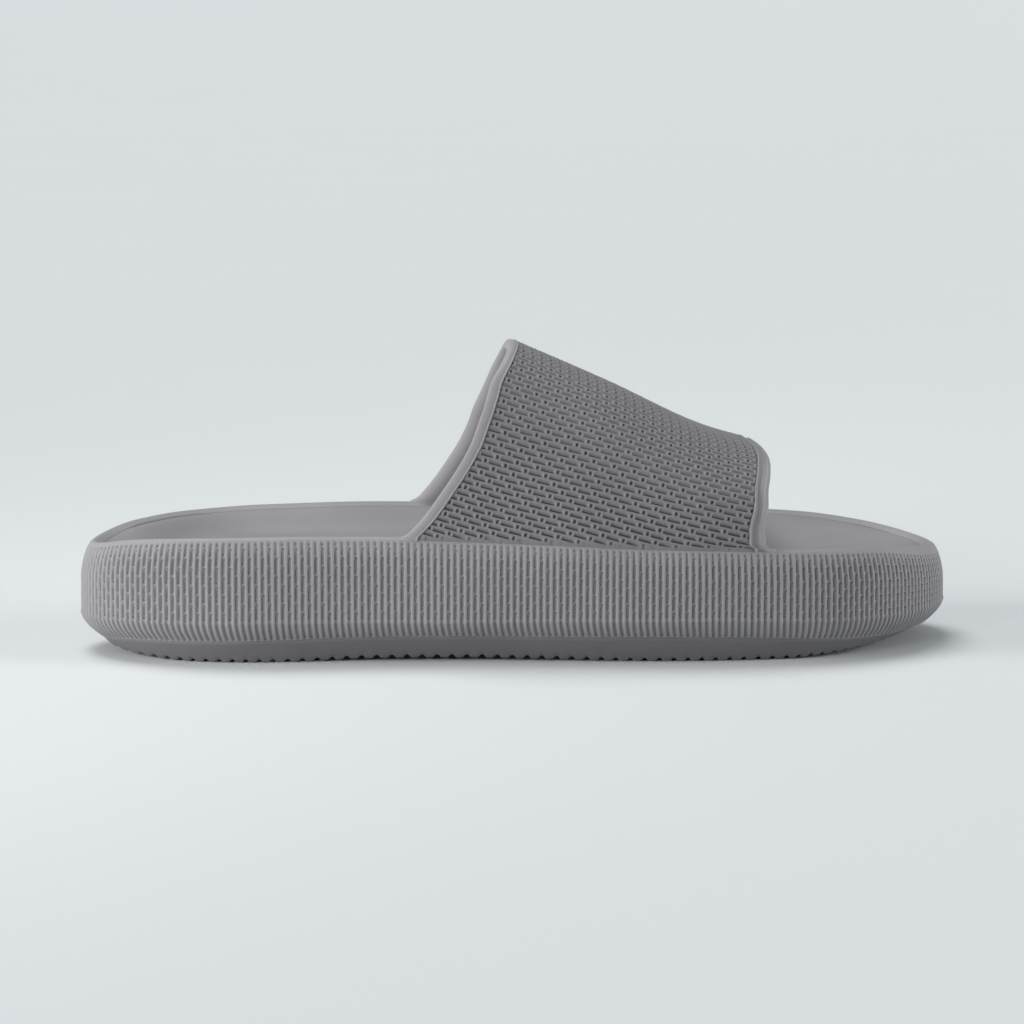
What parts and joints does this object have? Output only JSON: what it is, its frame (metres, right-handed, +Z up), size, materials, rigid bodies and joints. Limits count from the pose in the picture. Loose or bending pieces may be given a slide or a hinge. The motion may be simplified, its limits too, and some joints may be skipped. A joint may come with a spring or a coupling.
{
  "type": "slide sandal",
  "caption": "Thick foam slide sandal with an arched strap in raised brick weave over a ribbed sole, with a smooth rim, a cupped footbed and a notched tread.",
  "frame": {"origin": "on the floor, under the middle of the sandal's length and width", "axes": "+X towards the toe, +Y towards the inner (medial) side of the right foot, +Z up"},
  "size_m": [0.287, 0.107, 0.1009],
  "materials": {
    "outsole_foam": "matte",
    "midsole_foam": "matte",
    "footbed_foam": "matte",
    "upper_foam": "matte"
  },
  "bodies": {
    "root": {"outsole": "outsole_foam", "midsole": "midsole_foam", "footbed": "footbed_foam", "upper": "upper_foam"}
  },
  "joints": []
}
